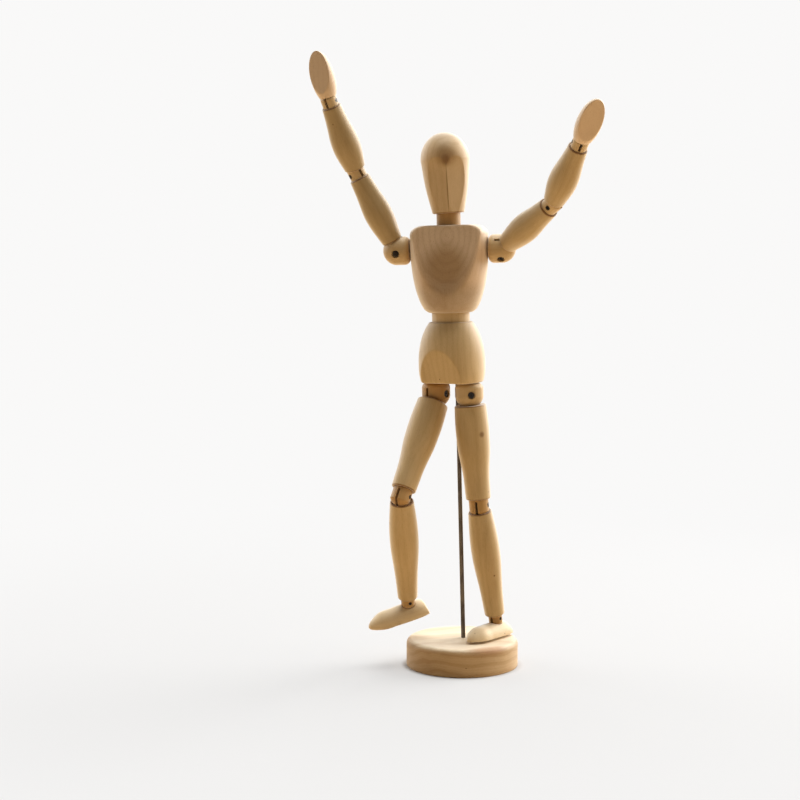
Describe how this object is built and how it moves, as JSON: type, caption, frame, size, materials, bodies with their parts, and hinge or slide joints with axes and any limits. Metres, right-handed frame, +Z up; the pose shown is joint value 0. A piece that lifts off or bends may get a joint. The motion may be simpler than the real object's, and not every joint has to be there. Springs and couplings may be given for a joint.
{
  "type": "wooden artist's mannequin",
  "caption": "Jointed wooden human figure with turned limbs and slotted bead joints, posed with raised arms on a steel rod over a round wooden base.",
  "frame": {"origin": "centre of the base's underside", "axes": "+Z up; the figure's base faces -Y, with the figure's right side at -X"},
  "size_m": [0.1583, 0.1259, 0.3549],
  "materials": {
    "figure_wood": "sanded, bare",
    "base_wood": "sanded, bare",
    "steel": "drawn, plain"
  },
  "bodies": {
    "stand": {"base_disc": "base_wood", "support_rod": "steel"},
    "pelvis": {"pelvis": "figure_wood"},
    "waist": {"waist_block": "figure_wood", "waist_pins": "steel"},
    "chest": {"chest": "figure_wood", "waist_tang": "steel"},
    "neck": {"neck_block": "figure_wood", "neck_pins": "steel"},
    "head": {"head": "figure_wood", "neck_tang": "steel"},
    "right_shoulder": {"right_shoulder_bead": "figure_wood", "right_shoulder_pins": "steel"},
    "right_upper_arm": {"right_upper_arm": "figure_wood", "right_shoulder_tang": "steel"},
    "right_elbow": {"right_elbow_bead": "figure_wood", "right_elbow_pins": "steel"},
    "right_forearm": {"right_forearm": "figure_wood", "right_elbow_tang": "steel"},
    "right_wrist": {"right_wrist_bead": "figure_wood", "right_wrist_pins": "steel"},
    "right_hand": {"right_hand": "figure_wood", "right_wrist_tang": "steel"},
    "left_shoulder": {"left_shoulder_bead": "figure_wood", "left_shoulder_pins": "steel"},
    "left_upper_arm": {"left_upper_arm": "figure_wood", "left_shoulder_tang": "steel"},
    "left_elbow": {"left_elbow_bead": "figure_wood", "left_elbow_pins": "steel"},
    "left_forearm": {"left_forearm": "figure_wood", "left_elbow_tang": "steel"},
    "left_wrist": {"left_wrist_bead": "figure_wood", "left_wrist_pins": "steel"},
    "left_hand": {"left_hand": "figure_wood", "left_wrist_tang": "steel"},
    "right_hip": {"right_hip_bead": "figure_wood", "right_hip_pins": "steel"},
    "right_thigh": {"right_thigh": "figure_wood", "right_hip_tang": "steel"},
    "right_knee": {"right_knee_bead": "figure_wood", "right_knee_pins": "steel"},
    "right_shin": {"right_shin": "figure_wood", "right_knee_tang": "steel"},
    "right_ankle": {"right_ankle_bead": "figure_wood", "right_ankle_pins": "steel"},
    "right_foot": {"right_foot": "figure_wood", "right_ankle_tang": "steel"},
    "left_hip": {"left_hip_bead": "figure_wood", "left_hip_pins": "steel"},
    "left_thigh": {"left_thigh": "figure_wood", "left_hip_tang": "steel"},
    "left_knee": {"left_knee_bead": "figure_wood", "left_knee_pins": "steel"},
    "left_shin": {"left_shin": "figure_wood", "left_knee_tang": "steel"},
    "left_ankle": {"left_ankle_bead": "figure_wood", "left_ankle_pins": "steel"},
    "left_foot": {"left_foot": "figure_wood", "left_ankle_tang": "steel"}
  },
  "joints": [
    {"name": "figure_turn", "type": "hinge", "parent": "stand", "child": "pelvis", "pos_m": [0.0007, 0, 0.016], "axis": [0.0262, 0, -0.9997], "range_deg": [-90, 90]},
    {"name": "waist_swivel", "type": "hinge", "parent": "pelvis", "child": "waist", "pos_m": [-0.00748, -0.00514, 0.21036], "axis": [0.0262, 0, -0.9997], "range_deg": [-90, 90]},
    {"name": "waist_hinge", "type": "hinge", "parent": "waist", "child": "chest", "pos_m": [-0.00748, -0.00514, 0.21036], "axis": [0.9845, -0.1736, 0.0258], "range_deg": [-12, 12]},
    {"name": "neck_swivel", "type": "hinge", "parent": "chest", "child": "neck", "pos_m": [-0.00895, -0.00514, 0.26664], "axis": [0.0262, 0, -0.9997], "range_deg": [-90, 90]},
    {"name": "neck_hinge", "type": "hinge", "parent": "neck", "child": "head", "pos_m": [-0.00895, -0.00514, 0.26664], "axis": [0, 1, 0], "range_deg": [-10, 15]},
    {"name": "right_shoulder_swivel", "type": "hinge", "parent": "chest", "child": "right_shoulder", "pos_m": [-0.0381, 0.0001, 0.24357], "axis": [-0.9845, 0.1736, -0.0258], "range_deg": [-90, 90]},
    {"name": "right_shoulder_hinge", "type": "hinge", "parent": "right_shoulder", "child": "right_upper_arm", "pos_m": [-0.0381, 0.0001, 0.24357], "axis": [0.1633, 0.9596, 0.2293], "range_deg": [-132, 1]},
    {"name": "right_elbow_swivel", "type": "hinge", "parent": "right_upper_arm", "child": "right_elbow", "pos_m": [-0.0613, -0.00655, 0.28793], "axis": [-0.4594, -0.1318, 0.8784], "range_deg": [-90, 90]},
    {"name": "right_elbow_hinge", "type": "hinge", "parent": "right_elbow", "child": "right_forearm", "pos_m": [-0.0613, -0.00655, 0.28793], "axis": [-0.754, -0.4649, -0.4641], "range_deg": [-40, 67]},
    {"name": "right_wrist_swivel", "type": "hinge", "parent": "right_forearm", "child": "right_wrist", "pos_m": [-0.0763, -0.02135, 0.32712], "axis": [0.3371, 0.3325, -0.8808], "range_deg": [-90, 90]},
    {"name": "right_wrist_hinge", "type": "hinge", "parent": "right_wrist", "child": "right_hand", "pos_m": [-0.0763, -0.02135, 0.32712], "axis": [0.8835, -0.435, 0.1739], "range_deg": [-44, 67]},
    {"name": "left_shoulder_swivel", "type": "hinge", "parent": "chest", "child": "left_shoulder", "pos_m": [0.02136, -0.01039, 0.24512], "axis": [-0.9845, 0.1736, -0.0258], "range_deg": [-90, 90]},
    {"name": "left_shoulder_hinge", "type": "hinge", "parent": "left_shoulder", "child": "left_upper_arm", "pos_m": [0.02136, -0.01039, 0.24512], "axis": [-0.0849, -0.5995, -0.7958], "range_deg": [-116, 14]},
    {"name": "left_elbow_swivel", "type": "hinge", "parent": "left_upper_arm", "child": "left_elbow", "pos_m": [0.047, -0.04641, 0.26953], "axis": [0.5076, -0.7133, 0.4832], "range_deg": [-90, 90]},
    {"name": "left_elbow_hinge", "type": "hinge", "parent": "left_elbow", "child": "left_forearm", "pos_m": [0.047, -0.04641, 0.26953], "axis": [0.5893, 0.6966, 0.4093], "range_deg": [-34, 73]},
    {"name": "left_wrist_swivel", "type": "hinge", "parent": "left_forearm", "child": "left_wrist", "pos_m": [0.05895, -0.07519, 0.30129], "axis": [0.2687, -0.6467, 0.7138], "range_deg": [-90, 90]},
    {"name": "left_wrist_hinge", "type": "hinge", "parent": "left_wrist", "child": "left_hand", "pos_m": [0.05895, -0.07519, 0.30129], "axis": [-0.9612, -0.132, 0.2423], "range_deg": [-57, 51]},
    {"name": "right_hip_swivel", "type": "hinge", "parent": "pelvis", "child": "right_hip", "pos_m": [-0.01562, 0.00052, 0.16093], "axis": [-0.0262, 0, 0.9997], "range_deg": [-90, 40]},
    {"name": "right_hip_hinge", "type": "hinge", "parent": "right_hip", "child": "right_thigh", "pos_m": [-0.01562, 0.00052, 0.16093], "axis": [-0.7601, 0.6494, -0.0199], "range_deg": [-33, 33]},
    {"name": "right_knee_swivel", "type": "hinge", "parent": "right_thigh", "child": "right_knee", "pos_m": [-0.03589, -0.02493, 0.10466], "axis": [-0.3119, -0.3916, -0.8656], "range_deg": [-90, 90]},
    {"name": "right_knee_hinge", "type": "hinge", "parent": "right_knee", "child": "right_shin", "pos_m": [-0.03589, -0.02493, 0.10466], "axis": [-0.8878, 0.4446, 0.1188], "range_deg": [-8, 105]},
    {"name": "right_ankle_swivel", "type": "hinge", "parent": "right_shin", "child": "right_ankle", "pos_m": [-0.03199, 0.00064, 0.03811], "axis": [-0.0547, -0.3582, 0.932], "range_deg": [-90, 90]},
    {"name": "right_ankle_hinge", "type": "hinge", "parent": "right_ankle", "child": "right_foot", "pos_m": [-0.03199, 0.00064, 0.03811], "axis": [-0.3458, 0.8825, 0.3188], "range_deg": [-42, 52]},
    {"name": "left_hip_swivel", "type": "hinge", "parent": "pelvis", "child": "left_hip", "pos_m": [0.00323, -0.01081, 0.16142], "axis": [-0.0262, 0, 0.9997], "range_deg": [-60, 28]},
    {"name": "left_hip_hinge", "type": "hinge", "parent": "left_hip", "child": "left_thigh", "pos_m": [0.00323, -0.01081, 0.16142], "axis": [0.1184, -0.993, 0.0031], "range_deg": [-1, 59]},
    {"name": "left_knee_swivel", "type": "hinge", "parent": "left_thigh", "child": "left_knee", "pos_m": [0.00909, -0.01031, 0.09669], "axis": [-0.0902, -0.0076, 0.9959], "range_deg": [-60, 32]},
    {"name": "left_knee_hinge", "type": "hinge", "parent": "left_knee", "child": "left_shin", "pos_m": [0.00909, -0.01031, 0.09669], "axis": [0.9424, -0.3241, 0.0828], "range_deg": [-1, 45]},
    {"name": "left_ankle_swivel", "type": "hinge", "parent": "left_shin", "child": "left_ankle", "pos_m": [0.01969, 0.00276, 0.0273], "axis": [-0.1484, -0.1831, 0.9718], "range_deg": [-15, 40]},
    {"name": "left_ankle_hinge", "type": "hinge", "parent": "left_ankle", "child": "left_foot", "pos_m": [0.01969, 0.00276, 0.0273], "axis": [-0.7777, 0.6286, -0.0003], "range_deg": [-1, 5]}
  ]
}
